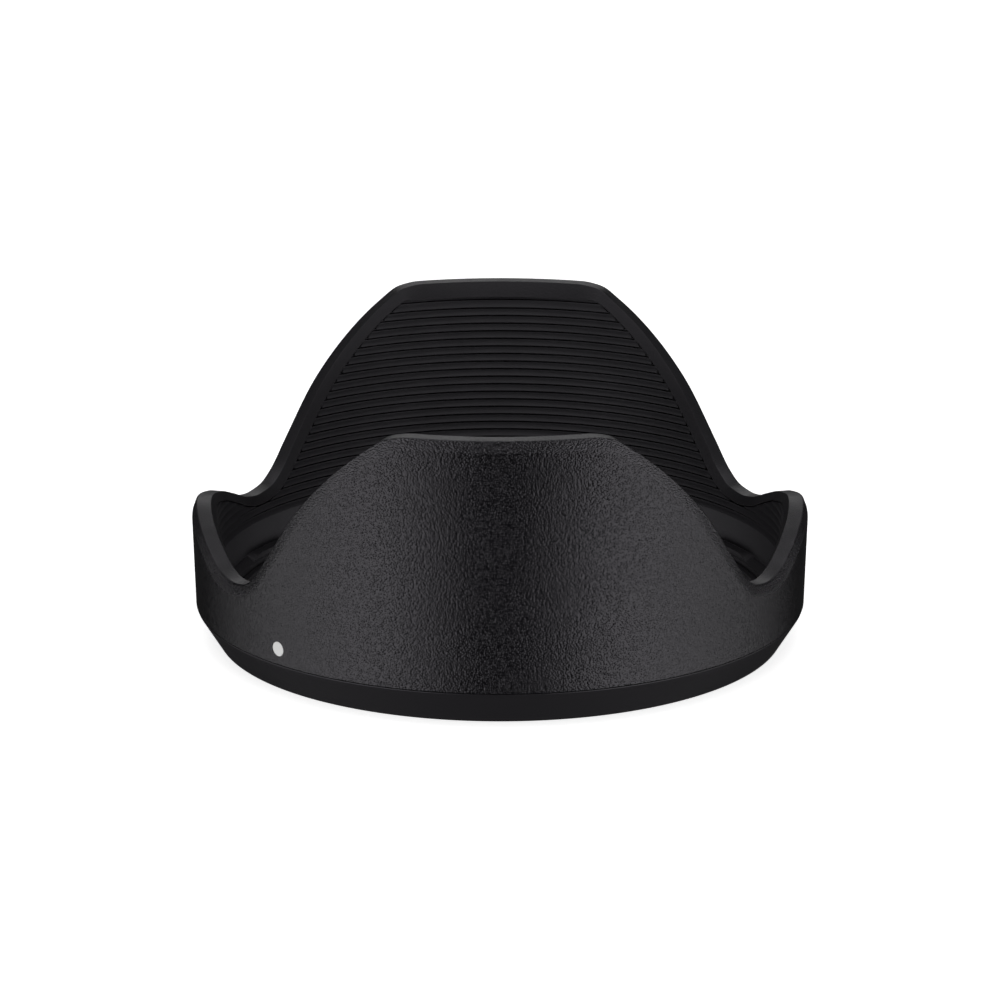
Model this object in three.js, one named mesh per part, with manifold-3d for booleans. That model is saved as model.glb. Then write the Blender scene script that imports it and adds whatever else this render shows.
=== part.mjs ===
// Petal lens hood: grained outer shell, ribbed anti-reflection liner, bayonet mount ring,
// index dot, three click leaf springs and their screws. Millimetres, +Z towards the scene.
// Azimuth is measured about +Z from the -Y side, growing towards +X.

import * as THREE from 'three';
import { mergeVertices } from 'three/addons/utils/BufferGeometryUtils.js';
import Module from 'manifold-3d';

const wasm = await Module();
wasm.setup();

// ---------------------------------------------------------------- driving dimensions

const HOOD_HEIGHT = 44.35;
const SHORT_PETAL_HEIGHT = 21.3;
const VALLEY_HEIGHT = 15.25;

const BASE_RADIUS = 43.9; // smooth cone at the rear face
const SHOULDER_RADIUS = 47.26; // where the smooth cone meets the grained wall
const SHOULDER_HEIGHT = 5.4;
const WALL_TAPER = 0.0304; // wall radius gained per millimetre of height

const BORE_RADIUS = 40.6; // slides over the lens barrel
const LUG_RADIUS = 39.7; // inner face of the bayonet lugs

const BEVEL_WIDTH = 0.45; // outer bevel of the rim
const BEVEL_DROP = 1.75;
const RIM_WIDTH = 2.35; // flat face on top of the rim
const BORDER_DROP = 1.8; // inner bevel, the plain border around the ribs
const WALL_DEPTH = 3.86; // outer wall to the liner's inner face
const SHELL_THICKNESS = 2.35;
const PIECE_GAP = 0.25; // between pieces that rest on each other

const LEDGE_OUTER_RADIUS = 43.3; // sloped ledge inside the foot of the shell
const LEDGE_INNER_RADIUS = 41.5;
const LEDGE_HEIGHT = 6.8;
const LEDGE_LIP_HEIGHT = 6.2;

const COLUMNS = 120; // facets around the hood

// Half of one long petal and half of one short petal: [azimuth, rim height]
const RIM_POINTS = [
  [0, HOOD_HEIGHT],
  [16, HOOD_HEIGHT],
  [20, 43.85],
  [23.5, 42.05],
  [30, 37.85],
  [39, 30.55],
  [47.5, 21.7],
  [52, 17.5],
  [55.5, 15.75],
  [60, VALLEY_HEIGHT],
  [64.5, 15.85],
  [70, 17.55],
  [78, 19.7],
  [90, SHORT_PETAL_HEIGHT],
];

const THIRD_TURN = 120;
const SPRING_AZIMUTHS = [0, THIRD_TURN, 2 * THIRD_TURN];
const LUG_AZIMUTHS = [60, 60 + THIRD_TURN, 60 + 2 * THIRD_TURN];
const RING_SCREW_AZIMUTHS = [30, 90, 150, 210, 270, 330];

const ringScrew = { circle: 42.4, headRadius: 1.0, headDepth: 0.6, shaftRadius: 0.6, top: 6.0 };
const leaf = { thickness: 0.3, low: 1.75, high: 3.75, rootAzimuth: 9.5, padRadius: 42.4 };
const leafScrew = { spread: 1.75, headRadius: 0.85, headInner: 41.55, headOuter: 42.1, shaftRadius: 0.5, end: 44.3 };
const pocket = { inner: 40.0, outer: 42.75, halfAngle: 13.5, low: 1.2, high: 4.3 };
const lug = { halfAngle: 12, low: 1.9, high: 3.7 };
const boss = { inner: 41.75, outer: 43.0, halfAngle: 8, high: 7.3 };
const stopPin = { azimuth: 76, height: 2.8, radius: 0.6, inner: 39.9, outer: 43.5 };
const indexDot = { azimuth: -44.5, height: 7.94, radius: 1.15, depth: 0.95 };
const HOLE_CLEARANCE = 0.1;

// ---------------------------------------------------------------- materials

const plastic = (color, roughness) => new THREE.MeshStandardMaterial({ color, roughness, metalness: 0 });
const steel = (color) => new THREE.MeshStandardMaterial({ color, roughness: 0.32, metalness: 1 });

// ---------------------------------------------------------------- helpers

const radians = THREE.MathUtils.degToRad;

const wallRadius = (z) => SHOULDER_RADIUS + WALL_TAPER * (z - SHOULDER_HEIGHT);
const coneRadius = (z) => THREE.MathUtils.lerp(BASE_RADIUS, SHOULDER_RADIUS, z / SHOULDER_HEIGHT);

// Slopes of a smooth curve through the rim points that never overshoots them.
const RIM_SLOPES = RIM_POINTS.map((point, i) => {
  if (i === 0 || i === RIM_POINTS.length - 1) return 0;
  const [before, after] = [RIM_POINTS[i - 1], RIM_POINTS[i + 1]];
  const back = (point[1] - before[1]) / (point[0] - before[0]);
  const ahead = (after[1] - point[1]) / (after[0] - point[0]);
  return back * ahead <= 0 ? 0 : (2 * back * ahead) / (back + ahead);
});

// Height of the rim above the rear face at an azimuth in degrees.
function rimHeight(azimuth) {
  const half = Math.abs(((azimuth % 180) + 180) % 180);
  const a = half > 90 ? 180 - half : half;
  let i = 0;
  while (i < RIM_POINTS.length - 2 && a > RIM_POINTS[i + 1][0]) i += 1;
  const [a0, z0] = RIM_POINTS[i];
  const [a1, z1] = RIM_POINTS[i + 1];
  const span = a1 - a0;
  const t = (a - a0) / span;
  const blend = t * t * (3 - 2 * t);
  const bend = t * (1 - t) * span * ((1 - t) * RIM_SLOPES[i] - t * RIM_SLOPES[i + 1]);
  return z0 + (z1 - z0) * blend + bend;
}

// A point on the wall, a given distance below the rim, measured square to the rim's own line.
function belowRim(azimuth, drop) {
  const step = 0.5;
  const rise = rimHeight(azimuth + step) - rimHeight(azimuth - step);
  const arc = radians(2 * step) * SHOULDER_RADIUS;
  const length = Math.hypot(rise, arc);
  const turn = THREE.MathUtils.radToDeg((drop * rise) / length / SHOULDER_RADIUS);
  return { azimuth: azimuth + turn, z: rimHeight(azimuth) - (drop * arc) / length };
}

// Rows that join a fixed height to a line below the rim, without the two end rows.
function wallRows(foot, drop, inset, count) {
  const rows = [];
  for (let i = 1; i <= count; i += 1) {
    const t = i / (count + 1);
    rows.push((azimuth) => {
      const edge = belowRim(azimuth, drop);
      const z = THREE.MathUtils.lerp(foot, edge.z, t);
      return { azimuth: THREE.MathUtils.lerp(azimuth, edge.azimuth, t), z, r: wallRadius(z) - inset };
    });
  }
  return rows;
}

const rimRow = (drop, inset) => (azimuth) => {
  const edge = belowRim(azimuth, drop);
  return { azimuth: edge.azimuth, z: edge.z, r: wallRadius(edge.z) - inset };
};

const levelRow = (r, z) => (azimuth) => ({ azimuth, z, r });

// A closed ring whose rows follow the petals: a lathe, moved row by row onto the hood's lines.
function petalRing(rows) {
  const closed = [...rows, rows[0]];
  const profile = closed.map((row) => new THREE.Vector2(row(0).r, row(0).z));
  const geometry = new THREE.LatheGeometry(profile, COLUMNS);
  const position = geometry.attributes.position;
  for (let column = 0; column <= COLUMNS; column += 1) {
    for (let j = 0; j < closed.length; j += 1) {
      const spot = closed[j](((column % COLUMNS) * 360) / COLUMNS);
      const turn = radians(spot.azimuth);
      position.setXYZ(column * closed.length + j, spot.r * Math.sin(turn), spot.z, spot.r * Math.cos(turn));
    }
  }
  return geometry.rotateX(Math.PI / 2);
}

function lathe(points, segments) {
  const profile = points.map(([r, z]) => new THREE.Vector2(r, z));
  return new THREE.LatheGeometry(profile, segments).rotateX(Math.PI / 2);
}

// A block between two radii and two azimuths.
function arcBlock(inner, outer, azimuth, halfAngle, low, high) {
  const from = radians(azimuth - halfAngle - 90);
  const to = radians(azimuth + halfAngle - 90);
  const shape = new THREE.Shape();
  shape.absarc(0, 0, outer, from, to, false);
  shape.absarc(0, 0, inner, to, from, true);
  const block = new THREE.ExtrudeGeometry(shape, { depth: high - low, bevelEnabled: false, curveSegments: 12 });
  return block.translate(0, 0, low);
}

// A round bar that lies along the radius at an azimuth.
function radialBar(radius, inner, outer, azimuth, height, segments) {
  return new THREE.CylinderGeometry(radius, radius, outer - inner, segments)
    .translate(0, (inner + outer) / 2, 0)
    .rotateZ(radians(azimuth + 180))
    .translate(0, 0, height);
}

// A round bar parallel to Z.
function axialBar(radius, circle, azimuth, low, high, segments) {
  return new THREE.CylinderGeometry(radius, radius, high - low, segments)
    .rotateX(Math.PI / 2)
    .translate(circle * Math.sin(radians(azimuth)), -circle * Math.cos(radians(azimuth)), (low + high) / 2);
}

function solidOf(geometry) {
  const bare = geometry.clone();
  bare.deleteAttribute('normal');
  bare.deleteAttribute('uv');
  const welded = mergeVertices(bare, 1e-4);
  return new wasm.Manifold(
    new wasm.Mesh({
      numProp: 3,
      vertProperties: new Float32Array(welded.attributes.position.array),
      triVerts: new Uint32Array(welded.index.array),
    }),
  );
}

function geometryOf(solid) {
  const mesh = solid.getMesh();
  const geometry = new THREE.BufferGeometry();
  geometry.setAttribute('position', new THREE.BufferAttribute(mesh.vertProperties, 3));
  geometry.setIndex(new THREE.BufferAttribute(mesh.triVerts, 1));
  geometry.computeVertexNormals();
  return geometry;
}

const cut = (solid, tools) => tools.reduce((left, tool) => left.subtract(solidOf(tool)), solid);
const join = (solid, pieces) => pieces.reduce((whole, piece) => whole.add(solidOf(piece)), solid);

const hood = new THREE.Group();

function addPiece(name, geometry, material) {
  const mesh = new THREE.Mesh(geometry, material);
  mesh.name = name;
  hood.add(mesh);
}

// ---------------------------------------------------------------- outer shell

function petalShell() {
  const body = petalRing([
    levelRow(SHOULDER_RADIUS, SHOULDER_HEIGHT),
    ...wallRows(SHOULDER_HEIGHT, BEVEL_DROP, 0, 3),
    rimRow(BEVEL_DROP, 0),
    rimRow(0, BEVEL_WIDTH),
    rimRow(0, BEVEL_WIDTH + RIM_WIDTH),
    rimRow(BORDER_DROP, WALL_DEPTH),
    rimRow(BORDER_DROP, SHELL_THICKNESS),
    ...wallRows(LEDGE_HEIGHT, BORDER_DROP, SHELL_THICKNESS, 3).reverse(),
    levelRow(wallRadius(LEDGE_HEIGHT) - SHELL_THICKNESS, LEDGE_HEIGHT),
    levelRow(LEDGE_OUTER_RADIUS, LEDGE_HEIGHT),
    levelRow(LEDGE_INNER_RADIUS, LEDGE_LIP_HEIGHT),
    levelRow(LEDGE_INNER_RADIUS, SHOULDER_HEIGHT),
  ]);
  const bosses = SPRING_AZIMUTHS.map((azimuth) =>
    arcBlock(boss.inner, boss.outer, azimuth, boss.halfAngle, LEDGE_LIP_HEIGHT - 0.4, boss.high));
  const screwHoles = RING_SCREW_AZIMUTHS.map((azimuth) => axialBar(
    ringScrew.shaftRadius + HOLE_CLEARANCE, ringScrew.circle, azimuth,
    SHOULDER_HEIGHT - 1, ringScrew.top + HOLE_CLEARANCE, 16,
  ));
  const dotFace = wallRadius(indexDot.height);
  const dotHole = radialBar(
    indexDot.radius + HOLE_CLEARANCE, dotFace - indexDot.depth - HOLE_CLEARANCE, dotFace + 2,
    indexDot.azimuth, indexDot.height, 32,
  );
  return geometryOf(cut(join(solidOf(body), bosses), [...screwHoles, dotHole]));
}

addPiece('petal_shell', petalShell(), plastic(0x17161a, 0.55));

// ---------------------------------------------------------------- ribbed liner

function ribbedLiner() {
  const foot = LEDGE_HEIGHT + PIECE_GAP;
  const back = SHELL_THICKNESS + PIECE_GAP;
  const drop = BORDER_DROP + PIECE_GAP;
  return petalRing([
    levelRow(wallRadius(foot) - back, foot),
    ...wallRows(foot, drop, back, 3),
    rimRow(drop, back),
    rimRow(drop, WALL_DEPTH),
    ...wallRows(foot, drop, WALL_DEPTH, 3).reverse(),
    levelRow(wallRadius(foot) - WALL_DEPTH, foot),
  ]);
}

addPiece('ribbed_liner', ribbedLiner(), plastic(0x0f0f12, 0.7));

// ---------------------------------------------------------------- mount ring

function mountRing() {
  const top = SHOULDER_HEIGHT - PIECE_GAP;
  const edge = 0.3; // chamfers on the rear face
  const overlap = 0.4; // the lugs run into the ring by this much
  const through = 1; // the cutting bars start this far outside the surface
  const profile = [
    [BORE_RADIUS + edge, 0],
    [BASE_RADIUS - edge, 0],
    [coneRadius(edge), edge],
    [coneRadius(top), top],
    [BORE_RADIUS, top],
    [BORE_RADIUS, edge],
    [BORE_RADIUS + edge, 0],
  ];
  const lugs = LUG_AZIMUTHS.map((azimuth) =>
    arcBlock(LUG_RADIUS, BORE_RADIUS + overlap, azimuth, lug.halfAngle, lug.low, lug.high));
  const pockets = SPRING_AZIMUTHS.map((azimuth) =>
    arcBlock(pocket.inner, pocket.outer, azimuth, pocket.halfAngle, pocket.low, pocket.high));
  const leafScrewHoles = SPRING_AZIMUTHS.flatMap((azimuth) => leafScrewAzimuths(azimuth).map((spot) => radialBar(
    leafScrew.shaftRadius + HOLE_CLEARANCE, pocket.outer - 0.5, leafScrew.end + HOLE_CLEARANCE,
    spot, (leaf.low + leaf.high) / 2, 12,
  )));
  const screwHoles = RING_SCREW_AZIMUTHS.flatMap((azimuth) => [
    axialBar(ringScrew.shaftRadius + HOLE_CLEARANCE, ringScrew.circle, azimuth, -through, top + through, 16),
    axialBar(ringScrew.headRadius + HOLE_CLEARANCE, ringScrew.circle, azimuth, -through,
      ringScrew.headDepth + 2 * HOLE_CLEARANCE, 24),
  ]);
  const pinHole = radialBar(
    stopPin.radius + HOLE_CLEARANCE, BORE_RADIUS - through, stopPin.outer + HOLE_CLEARANCE,
    stopPin.azimuth, stopPin.height, 16,
  );
  const ring = join(solidOf(lathe(profile, COLUMNS)), lugs);
  return geometryOf(cut(ring, [...pockets, ...leafScrewHoles, ...screwHoles, pinHole]));
}

function leafScrewAzimuths(azimuth) {
  return [-leafScrew.spread, leafScrew.spread].map((side) => azimuth + leaf.rootAzimuth + side);
}

addPiece('mount_ring', mountRing(), plastic(0x131215, 0.42));

// ---------------------------------------------------------------- click leaf springs

// The leaf's middle line: a flat pad under the screws, a slope inwards and a rounded click bump.
const LEAF_LINE = [
  [12.4, leaf.padRadius],
  [9.5, leaf.padRadius],
  [6.4, leaf.padRadius],
  [1, 41.9],
  [-4.5, 41.15],
  [-6.6, 40.5],
  [-8, 40.2],
  [-9.4, 40.5],
  [-11.4, 41.25],
];

function clickSpring(azimuth) {
  const points = LEAF_LINE.map(([offset, r]) => {
    const angle = radians(azimuth + offset - 90);
    return new THREE.Vector3(r * Math.cos(angle), r * Math.sin(angle), 0);
  });
  const line = new THREE.CatmullRomCurve3(points, false, 'centripetal');
  const steps = 20;
  const [outside, inside] = [[], []];
  for (let i = 0; i <= steps; i += 1) {
    const spot = line.getPoint(i / steps);
    const along = line.getTangent(i / steps);
    const across = new THREE.Vector2(-along.y, along.x).multiplyScalar(leaf.thickness / 2);
    outside.push(new THREE.Vector2(spot.x - across.x, spot.y - across.y));
    inside.push(new THREE.Vector2(spot.x + across.x, spot.y + across.y));
  }
  const strip = new THREE.Shape([...outside, ...inside.reverse()]);
  const blank = new THREE.ExtrudeGeometry(strip, { depth: leaf.high - leaf.low, bevelEnabled: false });
  const holes = leafScrewAzimuths(azimuth).map((spot) => radialBar(
    leafScrew.shaftRadius + HOLE_CLEARANCE, leaf.padRadius - 1, leaf.padRadius + 1,
    spot, (leaf.low + leaf.high) / 2, 12,
  ));
  return geometryOf(cut(solidOf(blank.translate(0, 0, leaf.low)), holes));
}

function leafScrewShape(azimuth) {
  const edge = 0.15; // rounding of the head
  const point = 0.2; // chamfer at the screw's end
  const length = leafScrew.end - leafScrew.headInner;
  const head = leafScrew.headOuter - leafScrew.headInner;
  const profile = [
    [0, 0],
    [leafScrew.headRadius - edge, 0],
    [leafScrew.headRadius, edge],
    [leafScrew.headRadius, head],
    [leafScrew.shaftRadius, head],
    [leafScrew.shaftRadius, length - point],
    [leafScrew.shaftRadius - point, length],
    [0, length],
  ];
  return lathe(profile, 12)
    .rotateX(Math.PI / 2)
    .translate(0, -leafScrew.headInner, 0)
    .rotateZ(radians(azimuth))
    .translate(0, 0, (leaf.low + leaf.high) / 2);
}

SPRING_AZIMUTHS.forEach((azimuth, i) => {
  addPiece(`click_spring_${i + 1}`, clickSpring(azimuth), steel(0x9a9c9f));
  leafScrewAzimuths(azimuth).forEach((spot, j) => {
    addPiece(`spring_screw_${2 * i + j + 1}`, leafScrewShape(spot), steel(0x3a3a3d));
  });
});

// ---------------------------------------------------------------- ring screws, stop pin and index dot

function ringScrewShape(azimuth) {
  const recess = 0.08; // the head sits just inside the rear face
  const edge = 0.1;
  const point = 0.2; // chamfer at the screw's end
  const profile = [
    [0, recess],
    [ringScrew.headRadius - edge, recess],
    [ringScrew.headRadius, recess + edge],
    [ringScrew.headRadius, ringScrew.headDepth],
    [ringScrew.shaftRadius, ringScrew.headDepth],
    [ringScrew.shaftRadius, ringScrew.top - point],
    [ringScrew.shaftRadius - point, ringScrew.top],
    [0, ringScrew.top],
  ];
  const turn = radians(azimuth);
  return lathe(profile, 12).translate(ringScrew.circle * Math.sin(turn), -ringScrew.circle * Math.cos(turn), 0);
}

RING_SCREW_AZIMUTHS.forEach((azimuth, i) => {
  addPiece(`ring_screw_${i + 1}`, ringScrewShape(azimuth), steel(0x2c2c2f));
});

addPiece(
  'stop_pin',
  radialBar(stopPin.radius, stopPin.inner, stopPin.outer, stopPin.azimuth, stopPin.height, 16),
  steel(0x8c8e92),
);

addPiece(
  'index_dot',
  radialBar(
    indexDot.radius, wallRadius(indexDot.height) - indexDot.depth, wallRadius(indexDot.height),
    indexDot.azimuth, indexDot.height, 32,
  ),
  plastic(0xf0f0ee, 0.5),
);

export default hood;
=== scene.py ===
from math import atan2, cos, degrees, pi, radians, sin, sqrt, tan

import bmesh
import bpy
import numpy as np
from mathutils import Matrix, Vector


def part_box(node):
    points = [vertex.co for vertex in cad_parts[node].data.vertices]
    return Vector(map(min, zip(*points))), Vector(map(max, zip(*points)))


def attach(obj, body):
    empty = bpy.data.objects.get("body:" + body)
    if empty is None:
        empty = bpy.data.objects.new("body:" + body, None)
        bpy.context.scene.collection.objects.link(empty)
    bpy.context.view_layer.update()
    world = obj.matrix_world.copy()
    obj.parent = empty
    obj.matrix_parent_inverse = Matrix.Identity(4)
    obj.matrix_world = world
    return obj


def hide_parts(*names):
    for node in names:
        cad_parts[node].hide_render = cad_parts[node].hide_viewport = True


# petal lens hood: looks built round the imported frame
# azimuth is in degrees about +Z from the -Y side, growing towards +X; sizes are in mm until a mesh is made

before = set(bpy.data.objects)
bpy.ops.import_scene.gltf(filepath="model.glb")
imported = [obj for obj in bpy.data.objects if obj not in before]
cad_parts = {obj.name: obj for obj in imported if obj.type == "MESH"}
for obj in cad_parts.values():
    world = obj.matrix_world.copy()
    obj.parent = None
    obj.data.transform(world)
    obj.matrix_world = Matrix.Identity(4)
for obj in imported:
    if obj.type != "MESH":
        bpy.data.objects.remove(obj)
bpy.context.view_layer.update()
mm = 0.001
print("frame loaded:", len(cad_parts), "nodes")


# shared shape helpers

def nodeBox(node):
    low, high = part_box(node)
    return np.array(low) / mm, np.array(high) / mm


def polar(r, azimuth, z):
    a = np.radians(azimuth)
    return np.stack(np.broadcast_arrays(r * np.sin(a), -r * np.cos(a), z), axis=-1)


shellLow, shellHigh = nodeBox("petal_shell")

hood = dict(
    shoulderHeight=shellLow[2],
    shoulderRadius=47.26,
    baseRadius=43.9,
    taper=0.0304,  # wall radius gained per mm of height
    columns=960,
    rimPoints=[  # half a long petal, then half a short one: azimuth, rim height
        (0, shellHigh[2]), (16, shellHigh[2]), (20, 43.85), (23.5, 42.05), (30, 37.85), (39, 30.55),
        (47.5, 21.7), (52, 17.5), (55.5, 15.75), (60, 15.25), (64.5, 15.85), (70, 17.55), (78, 19.7),
        (90, 21.3),
    ],
    rimBlend=1.2,  # degrees to each side over which the rim's line is evened out
)


def wallRadius(z):
    return hood["shoulderRadius"] + hood["taper"] * (z - hood["shoulderHeight"])


def coneRadius(z):
    return hood["baseRadius"] + (hood["shoulderRadius"] - hood["baseRadius"]) * z / hood["shoulderHeight"]


def smoothSlopes(points):
    slopes = [0.0]
    for before, here, after in zip(points, points[1:], points[2:]):
        back = (here[1] - before[1]) / (here[0] - before[0])
        ahead = (after[1] - here[1]) / (after[0] - here[0])
        slopes.append(0.0 if back * ahead <= 0 else 2 * back * ahead / (back + ahead))
    return np.array(slopes + [0.0])


rimKnots = np.array(hood["rimPoints"])
rimSlopes = smoothSlopes(hood["rimPoints"])


def rimHeight(azimuth):
    half = np.mod(azimuth, 180.0)
    a = np.where(half > 90, 180 - half, half)
    i = np.clip(np.searchsorted(rimKnots[:, 0], a, side="left") - 1, 0, len(rimKnots) - 2)
    span = rimKnots[i + 1, 0] - rimKnots[i, 0]
    t = (a - rimKnots[i, 0]) / span
    rise = rimKnots[i + 1, 1] - rimKnots[i, 1]
    bend = t * (1 - t) * span * ((1 - t) * rimSlopes[i] - t * rimSlopes[i + 1])
    return rimKnots[i, 1] + rise * t * t * (3 - 2 * t) + bend


def softRimHeight(azimuth):  # the same line with its knots evened out
    reach = hood["rimBlend"]
    offsets = np.linspace(-reach, reach, 9)
    weights = np.cos(offsets / reach * pi / 2) + 0.05
    return sum(w * rimHeight(azimuth + o) for o, w in zip(offsets, weights)) / weights.sum()


def belowRim(azimuth, drop):  # square to the rim's own line, along the wall
    rise = softRimHeight(azimuth + 0.5) - softRimHeight(azimuth - 0.5)
    arc = radians(1.0) * hood["shoulderRadius"]
    length = np.hypot(rise, arc)
    turn = np.degrees(drop * rise / length / hood["shoulderRadius"])
    return azimuth + turn, softRimHeight(azimuth) - drop * arc / length


def fromLongPetal(azimuth, start, end):  # 0 round a long petal's top, 1 away from it
    half = np.mod(azimuth, 180.0)
    t = np.clip((np.where(half > 90, 180 - half, half) - start) / (end - start), 0, 1)
    return t * t * (3 - 2 * t)


def rimRow(inset, drop):  # inset and drop may each be a function of the azimuth
    def place(azimuth):
        a, z = belowRim(azimuth, drop(azimuth) if callable(drop) else drop)
        return a, z, wallRadius(z) - (inset(azimuth) if callable(inset) else inset)
    return place


def wallRow(foot, inset, drop, t):
    def place(azimuth):
        a, z = belowRim(azimuth, drop(azimuth) if callable(drop) else drop)
        z = foot + (z - foot) * t
        return azimuth + (a - azimuth) * t, z, wallRadius(z) - inset
    return place


def levelRow(r, z):
    return lambda azimuth: (azimuth, z + 0 * azimuth, r + 0 * azimuth)


def rounded(corners, steps=5):  # corners are (x, y, radius); each is swapped for an arc
    out = []
    for i, (x, y, radius) in enumerate(corners):
        here = np.array([x, y])
        if radius == 0 or i in (0, len(corners) - 1):
            out.append((x, y))
            continue
        back = np.array(corners[i - 1][:2]) - here
        ahead = np.array(corners[i + 1][:2]) - here
        back = back / np.linalg.norm(back)
        ahead = ahead / np.linalg.norm(ahead)
        half = np.arccos(np.clip(back @ ahead, -1, 1)) / 2
        centre = here + (back + ahead) / np.linalg.norm(back + ahead) * radius / sin(half)
        start = here + back * radius / tan(half) - centre
        end = here + ahead * radius / tan(half) - centre
        for k in range(steps + 1):
            ray = start + (end - start) * k / steps
            out.append(tuple(centre + ray / np.linalg.norm(ray) * radius))
    return out


def sharpen(mesh, angle):
    mesh.polygons.foreach_set("use_smooth", [True] * len(mesh.polygons))
    mesh.set_sharp_from_angle(angle=radians(angle))


def makeObject(name, mesh, materials):
    piece = bpy.data.objects.new(name, mesh)
    bpy.context.scene.collection.objects.link(piece)
    for material in materials:
        mesh.materials.append(material)
    return piece


def gridMesh(name, rows, columns, bands=None, weld=2e-6, sharp=32):
    # rows of points round the hood, each row joined to the next and the last to the first
    grid = np.stack([polar(r, a, z) for a, z, r in (row(columns) for row in rows)]) * mm
    count, width = grid.shape[:2]
    index = np.arange(count * width).reshape(count, width)
    right = np.roll(index, -1, axis=1)
    up = np.roll(index, -1, axis=0)
    upRight = np.roll(right, -1, axis=0)
    faces = np.stack([index, right, upRight, up], axis=-1).reshape(-1, 4)
    mesh = bpy.data.meshes.new(name)
    mesh.from_pydata(grid.reshape(-1, 3).tolist(), [], faces.tolist())
    if bands is not None:
        mesh.polygons.foreach_set("material_index", np.repeat(bands, width))
    bm = bmesh.new()
    bm.from_mesh(mesh)
    bmesh.ops.remove_doubles(bm, verts=bm.verts, dist=weld)
    bmesh.ops.dissolve_degenerate(bm, edges=bm.edges, dist=weld)
    bm.to_mesh(mesh)
    bm.free()
    sharpen(mesh, sharp)
    return mesh


def latheMesh(name, profile, segments, sharp=35):  # profile of (r, z), from axis to axis
    points = [(max(r, 0.0), z) for r, z in profile]
    turns = np.arange(segments) * 360 / segments
    grid = np.stack([polar(r, turns, z + 0 * turns) for r, z in points]) * mm
    count = len(points)
    index = np.arange(count * segments).reshape(count, segments)
    right = np.roll(index, -1, axis=1)
    faces = np.stack([index[:-1], right[:-1], right[1:], index[1:]], axis=-1).reshape(-1, 4)
    mesh = bpy.data.meshes.new(name)
    mesh.from_pydata(grid.reshape(-1, 3).tolist(), [], faces.tolist())
    bm = bmesh.new()
    bm.from_mesh(mesh)
    bmesh.ops.remove_doubles(bm, verts=bm.verts, dist=1e-7)
    bmesh.ops.dissolve_degenerate(bm, edges=bm.edges, dist=1e-7)
    bmesh.ops.recalc_face_normals(bm, faces=bm.faces)
    bm.to_mesh(mesh)
    bm.free()
    sharpen(mesh, sharp)
    return mesh


def carve(piece, cutters):  # boolean cuts, applied at once
    for cutter in cutters:
        step = piece.modifiers.new("cut", "BOOLEAN")
        step.operation = "DIFFERENCE"
        step.solver = "EXACT"
        step.object = cutter
    graph = bpy.context.evaluated_depsgraph_get()
    graph.update()
    done = bpy.data.meshes.new_from_object(piece.evaluated_get(graph))
    piece.modifiers.clear()
    piece.data = done
    for cutter in cutters:
        bpy.data.objects.remove(cutter)


def aimOut(azimuth, r, z):  # stands a lathe shape so that its +Z points out along the radius
    outward = Vector((sin(radians(azimuth)), -cos(radians(azimuth)), 0))
    side = Vector((cos(radians(azimuth)), sin(radians(azimuth)), 0))
    turn = Matrix((side, Vector((0, 0, 1)), outward)).transposed().to_4x4()
    spot = outward * r * mm + Vector((0, 0, z * mm))
    return Matrix.Translation(spot) @ turn


# materials

def newMaterial(name):
    material = bpy.data.materials.new(name)
    material.use_nodes = True
    nodes = material.node_tree.nodes
    return material, nodes, material.node_tree.links, nodes["Principled BSDF"]


def groupSocket(group, name, inOut, kind, default=None):
    socket = group.interface.new_socket(name=name, in_out=inOut, socket_type=kind)
    if default is not None:
        socket.default_value = default
    return socket


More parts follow.
